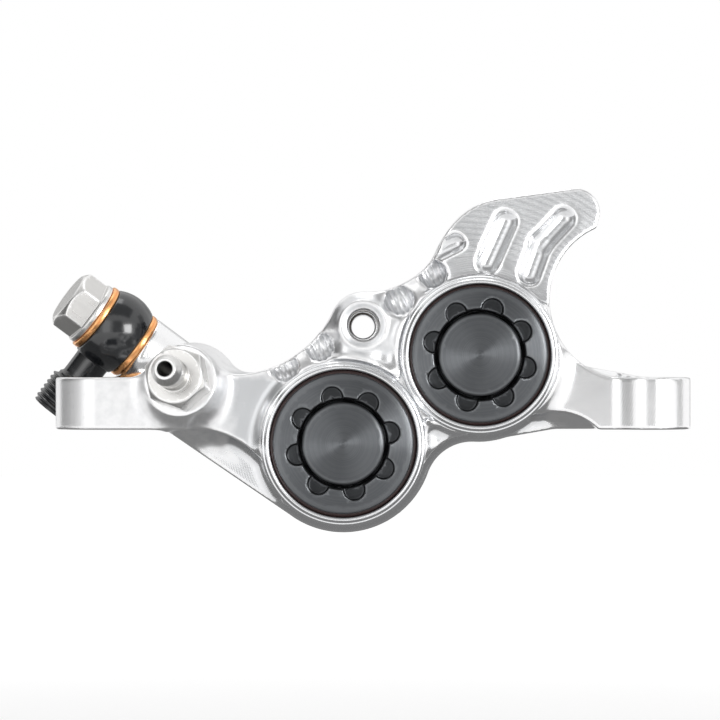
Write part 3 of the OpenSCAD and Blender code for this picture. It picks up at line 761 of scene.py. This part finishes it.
# painted shade: the body's inner corners are darkened towards a grey
tree.links.new(mix_color(tree, wear_and_shade["Corner"], worn, PAINTED_CORNER_SHADE), shader.inputs["Base Color"])
rough = layered(tree, (spread(tree, haze["Cloud"], 0.16, 0.24), 1.0, None), (on_tail, 0.05, None),
                (in_notch, 0.16, None), (on_crown, 0.12, None), (lines["Height"], 0.08, None))
tree.links.new(rough, shader.inputs["Roughness"])
print("finish", body_finish.name, "nodes", len(tree.nodes))


# %% [markdown]
# The caps, pistons, bolt and nipple came off a lathe. Turning leaves rings too fine to see one by one, but they
# spread a highlight into two fans. The shader does that by itself when its anisotropy is set and its tangent runs
# round the axis, so the rings in the bump only have to break the fans up a little. A cap's sockets get painted
# shade, darker with their depth.

# %% Turned metals
# the colour of the painted shade in the cap sockets
PAINTED_SOCKET_SHADE = (0, 0, 0, 1)


def turned_finish(name, centre, axis, dark, light, worn, roughness, pitch=0.12, fans=0.0, ring_depth=0.004,
                  sunk=0.0):
    """A lathe-turned metal whose colour lies between dark and light, with rubbed edges and, given sunk, painted shade
    in its sockets.
    """
    material, tree, shader = new_finish(name, metallic=1.0, anisotropic=fans, anisotropic_rotation=0.25)
    lathe = group_node(tree, rings, centre=metres(centre), axis=tuple(axis), pitch=pitch * MM, waver=0.15)
    haze = group_node(tree, mottle, scale=320.0)
    wear_and_shade = group_node(tree, wear_and_shade_group, reach=0.6)
    tone = layered(tree, (haze["Cloud"], 0.6, None), (lathe["Shade"], 0.25, None))
    metal = mix_color(tree, tone, (*dark, 1), (*light, 1))
    # painted shade: the sockets are darkened towards black, the deeper the darker
    if sunk:
        metal = mix_color(tree, math_node(tree, "MULTIPLY", attribute(tree, "sunk"), sunk), metal, PAINTED_SOCKET_SHADE)
    tree.links.new(mix_color(tree, wear_and_shade["Edge"], metal, (*worn, 1)), shader.inputs["Base Color"])
    cloudy = spread(tree, haze["Cloud"], roughness - 0.04, roughness + 0.05)
    rough = layered(tree, (cloudy, 1.0, None), (lathe["Shade"], 0.04, None))
    tree.links.new(rough, shader.inputs["Roughness"])
    bump(tree, shader, layered(tree, (lathe["Height"], 1.0, None), (haze["Grain"], 0.4, None)), ring_depth)
    if fans:
        round_axis = put(tree, "Tangent", direction_type="RADIAL", axis="Y").outputs[0]
        tree.links.new(round_axis, shader.inputs["Tangent"])
    return material


def wear(obj, material):
    """Gives a piece or a node its finish."""
    if obj.data.materials:
        for index in range(len(obj.data.materials)):
            obj.data.materials[index] = material
    else:
        obj.data.materials.append(material)


# %% Dress the turned pieces
TURN_AXIS = (0, 1, 0)
ANODISED = ((0.095, 0.10, 0.107), (0.165, 0.172, 0.18), (0.16, 0.167, 0.175))
STAINLESS = ((0.62, 0.61, 0.595), (0.73, 0.725, 0.71), (0.86, 0.855, 0.845))
GROUND_STEEL = ((0.55, 0.56, 0.58), (0.70, 0.71, 0.73), (0.82, 0.82, 0.83))
for obj in [milled_body] + bore_rims:
    wear(obj, body_finish)
for size, (centre, _) in zip(("large", "small"), bores):
    anodised = turned_finish(size + "_dark_anodised", centre, TURN_AXIS, *ANODISED, 0.30, fans=0.9,
                             ring_depth=0.003, sunk=0.55)
    wear(bpy.data.objects["turned_" + size + "_bore_cap"], anodised)
for name, finish, origin, axis in (("hex_bolt", "bolt_stainless", banjo_o, bolt_dir),
                                   ("barbed_nipple", "nipple_stainless", nipple_o, nipple_dir)):
    wear(bpy.data.objects[name], turned_finish(finish, origin, axis, *STAINLESS, 0.27))
for node in nodes:
    if slot_of[node] == "piston":
        ground = turned_finish(node + "_steel", round_piece(node)[0], TURN_AXIS, *GROUND_STEEL, 0.25, pitch=0.2)
        wear(nodes[node], ground)
print("finishes so far", len(bpy.data.materials))


# %% Copper
copper, tree, shader = new_finish("bright_copper", metallic=1.0)
haze = group_node(tree, mottle, scale=500.0)
wear_and_shade = group_node(tree, wear_and_shade_group, reach=0.7)
lines = group_node(tree, scratches, stretch=(5000, 1200, 5000), amount=0.6)
metal = mix_color(tree, haze["Cloud"], (0.80, 0.21, 0.05, 1), (0.96, 0.36, 0.11, 1))
tree.links.new(mix_color(tree, wear_and_shade["Edge"], metal, (1.0, 0.52, 0.22, 1)), shader.inputs["Base Color"])
tree.links.new(spread(tree, haze["Cloud"], 0.20, 0.34), shader.inputs["Roughness"])
bump(tree, shader, layered(tree, (lines["Height"], 0.6, None), (haze["Grain"], 0.4, None)), 0.006)
for name in ("crush_washer_head", "crush_washer_body"):
    wear(bpy.data.objects[name], copper)

# %% [markdown]
# The banjo is anodised black and polished. The black has a faint cloud in it, and its sheen spreads the softbox
# into a soft patch.

# %% Gloss black
gloss, tree, shader = new_finish("gloss_black", metallic=0.0, specular_ior_level=1.0)
haze = group_node(tree, mottle, scale=350.0)
wear_and_shade = group_node(tree, wear_and_shade_group, reach=0.9)
black = mix_color(tree, haze["Cloud"], (0.003, 0.004, 0.006, 1), (0.008, 0.010, 0.013, 1))
tree.links.new(mix_color(tree, wear_and_shade["Edge"], black, (0.03, 0.033, 0.037, 1)), shader.inputs["Base Color"])
tree.links.new(spread(tree, haze["Grain"], 0.13, 0.19), shader.inputs["Roughness"])
bump(tree, shader, layered(tree, (haze["Grain"], 0.8, None), (haze["Cloud"], 0.2, None)), 0.0008)
wear(gloss_banjo, gloss)


# %% [markdown]
# Rubber, moulded plastic, blanked steel and sintered lining show only in the gaps, yet a turn of the part brings
# them into the light. Rubber and plastic differ in colour and sheen, so one function makes both. A lining is
# pressed from grains: cells of different tone, some of them copper, with pits between.

# %% Rubber, plastic and steel plate
def soft_finish(name, dark, light, roughness, grain_mm):
    material, tree, shader = new_finish(name, metallic=0.0)
    haze = group_node(tree, mottle, scale=420.0)
    tone = layered(tree, (haze["Cloud"], 0.7, None), (haze["Grain"], 0.3, None))
    tree.links.new(mix_color(tree, tone, (*dark, 1), (*light, 1)), shader.inputs["Base Color"])
    tree.links.new(spread(tree, haze["Cloud"], roughness - 0.08, roughness + 0.08), shader.inputs["Roughness"])
    bump(tree, shader, haze["Grain"], grain_mm)
    return material


plate, tree, shader = new_finish("blanked_steel", metallic=1.0)
haze = group_node(tree, mottle, scale=380.0)
lines = group_node(tree, scratches, stretch=(400, 6000, 9000), amount=0.7)
dull_steel = mix_color(tree, haze["Cloud"], (0.26, 0.24, 0.22, 1), (0.46, 0.44, 0.41, 1))
tree.links.new(dull_steel, shader.inputs["Base Color"])
tree.links.new(spread(tree, haze["Cloud"], 0.32, 0.5), shader.inputs["Roughness"])
bump(tree, shader, layered(tree, (lines["Height"], 0.5, None), (haze["Grain"], 0.5, None)), 0.008)

lining, tree, shader = new_finish("sintered_lining")
place = put(tree, "TexCoord").outputs["Object"]
grains = put(tree, "TexVoronoi", {"Vector": place, "Scale": 2600.0})
haze = group_node(tree, mottle, scale=900.0)
pick = put(tree, "SeparateColor", {0: grains.outputs["Color"]}).outputs[0]
tone = mix_color(tree, pick, (0.05, 0.045, 0.042, 1), (0.24, 0.21, 0.19, 1))
copper_grain = put(tree, "MapRange", {"Value": pick, "From Min": 0.82, "From Max": 0.86}).outputs["Result"]
tree.links.new(mix_color(tree, copper_grain, tone, (0.48, 0.26, 0.14, 1)), shader.inputs["Base Color"])
tree.links.new(copper_grain, shader.inputs["Metallic"])
tree.links.new(spread(tree, haze["Cloud"], 0.5, 0.75), shader.inputs["Roughness"])
bump(tree, shader, layered(tree, (grains.outputs["Distance"], -0.7, None), (haze["Grain"], 0.3, None)), 0.05)

by_slot = {
    "o_ring": soft_finish("red_brown_rubber", (0.014, 0.006, 0.0055), (0.042, 0.015, 0.013), 0.45, 0.004),
    "seal": soft_finish("black_rubber", (0.016, 0.016, 0.017), (0.035, 0.035, 0.036), 0.5, 0.004),
    "insulator": soft_finish("moulded_phenolic", (0.09, 0.05, 0.03), (0.17, 0.10, 0.06), 0.42, 0.01),
    "pad_plate": plate,
    "lining": lining,
}
for node, obj in nodes.items():
    if slot_of[node] in by_slot:
        wear(obj, by_slot[slot_of[node]])
print("finishes", len(bpy.data.materials))

# %% [markdown]
# The studio is a white tent. The world is white to the camera and to metal, and softer to everything matt, so that
# colours render about as they are written. One softbox at the right and one overhead model the form. Cards stand just
# out of sight, most of them grey and one bright: polished metal shows nothing but its surroundings, and it is the
# cards that draw its edges.

# %% World
AMBIENT = 0.35
world = bpy.data.worlds.new("studio")
scene.world = world
world.use_nodes = True
tree = world.node_tree


def shown_rays(tree):
    """1 for rays from the camera, from metal and through glass, and 0 for the rest."""
    rays = put(tree, "LightPath").outputs
    seen = math_node(tree, "ADD", rays["Is Camera Ray"], rays["Is Glossy Ray"])
    seen = math_node(tree, "ADD", seen, rays["Is Transmission Ray"])
    return math_node(tree, "MINIMUM", seen, 1.0)


tree.nodes["Background"].inputs["Color"].default_value = (1, 1, 1, 1)
tree.links.new(spread(tree, shown_rays(tree), AMBIENT, 1.0), tree.nodes["Background"].inputs["Strength"])


# %% Softboxes and cards
MIDDLE = (0, 0, 0.01)


def facing(obj, target=MIDDLE):
    way = Vector(target) - obj.location
    obj.rotation_euler = way.to_track_quat("-Z", "Y").to_euler()


def softbox(name, place, size, power):
    light = bpy.data.lights.new(name, "AREA")
    light.shape = "SQUARE"
    light.size = size
    light.energy = power
    lamp = bpy.data.objects.new(name, light)
    scene.collection.objects.link(lamp)
    lamp.location = place
    lamp.visible_camera = False
    facing(lamp)


def card(name, place, width, height, left, right, target=MIDDLE):
    """A card that only polished surfaces see, shaded from its left to its right."""
    mesh = bpy.data.meshes.new(name)
    w, h = width / 2, height / 2
    mesh.from_pydata([(-w, -h, 0), (w, -h, 0), (w, h, 0), (-w, h, 0)], [], [(0, 1, 2, 3)])
    obj = bpy.data.objects.new(name, mesh)
    scene.collection.objects.link(obj)
    obj.location = place
    facing(obj, target)
    material, tree, shader = new_finish(name, base_color=(0, 0, 0, 1), specular_ior_level=0.0,
                                        emission_color=(1, 1, 1, 1))
    across = put(tree, "SeparateXYZ", {0: put(tree, "TexCoord").outputs["Object"]}).outputs["X"]
    shade = put(tree, "MapRange", {"Value": across, "From Min": -w, "From Max": w,
                                   "To Min": left, "To Max": right}).outputs["Result"]
    tree.links.new(shade, shader.inputs["Emission Strength"])
    mesh.materials.append(material)
    for ray in ("camera", "diffuse", "shadow", "transmission"):
        setattr(obj, "visible_" + ray, False)


softbox("key_softbox", (0.60, -0.72, 0.13), 0.38, 3.3)
softbox("overhead_softbox", (0.0, 0.10, 0.95), 0.4, 0.8)
card("front_card", (0.15, -0.95, 0.05), 0.46, 1.0, 0.46, 0.42)
card("back_card", (0.0, 0.9, 0.05), 1.2, 0.9, 0.60, 0.60)
card("left_flag", (-0.72, -0.13, 0.1), 1.00, 1.0, 0.0, 0.46)
card("left_glow", (-0.37, -0.87, 0.05), 0.36, 1.0, 1.7, 1.7)
card("right_flag", (0.90, 0.05, 0.1), 0.30, 1.0, 0.50, 0.50)
card("top_card", (0.0, -0.30, 0.75), 1.4, 0.6, 0.36, 0.36)
card("low_card", (0.0, 0.06, -0.045), 0.6, 0.2, 0.22, 0.22, target=(0.0, 0.06, 1.0))

# %% Floor
FLOOR_Z = -0.05
FLOOR_SIDE = 3.0
LIFT_NEAR = 0.5
LIFT_FAR = 0.72
s = FLOOR_SIDE / 2
mesh = bpy.data.meshes.new("floor")
mesh.from_pydata([(-s, -s, FLOOR_Z), (s, -s, FLOOR_Z), (s, s, FLOOR_Z), (-s, s, FLOOR_Z)], [], [(0, 1, 2, 3)])
floor = bpy.data.objects.new("floor", mesh)
scene.collection.objects.link(floor)
pale, tree, shader = new_finish("pale_floor", roughness=0.9, specular_ior_level=0.0,
                                emission_color=(1, 1, 1, 1))
haze = group_node(tree, mottle, scale=3.0)
paper = mix_color(tree, haze["Cloud"], (0.88, 0.88, 0.88, 1), (0.92, 0.92, 0.92, 1))
tree.links.new(paper, shader.inputs["Base Color"])
reach = put(tree, "VectorMath", {0: put(tree, "TexCoord").outputs["Object"]}, operation="LENGTH").outputs["Value"]
lift = put(tree, "MapRange", {"Value": reach, "From Min": 0.08, "From Max": 0.4, "To Min": LIFT_NEAR,
                              "To Max": LIFT_FAR}, interpolation_type="SMOOTHSTEP").outputs["Result"]
lifted = math_node(tree, "MULTIPLY", lift, shown_rays(tree))
tree.links.new(lifted, shader.inputs["Emission Strength"])
wear(floor, pale)

# %% [markdown]
# The camera looks straight at the outboard face, a little above the middle, from half a metre away.

# %% Camera
CAMERA_AT = (-1.76, -550, 9.32)
FRAME_WIDTH = 97.3
SENSOR = 36
camera = bpy.data.objects.new("camera", bpy.data.cameras.new("camera"))
scene.collection.objects.link(camera)
camera.location = metres(CAMERA_AT)
camera.rotation_euler = (math.pi / 2, 0, 0)
camera.data.sensor_width = SENSOR
camera.data.lens = SENSOR * -CAMERA_AT[1] / FRAME_WIDTH
camera.data.clip_start = 0.01
scene.camera = camera
scene.view_settings.view_transform = "Standard"
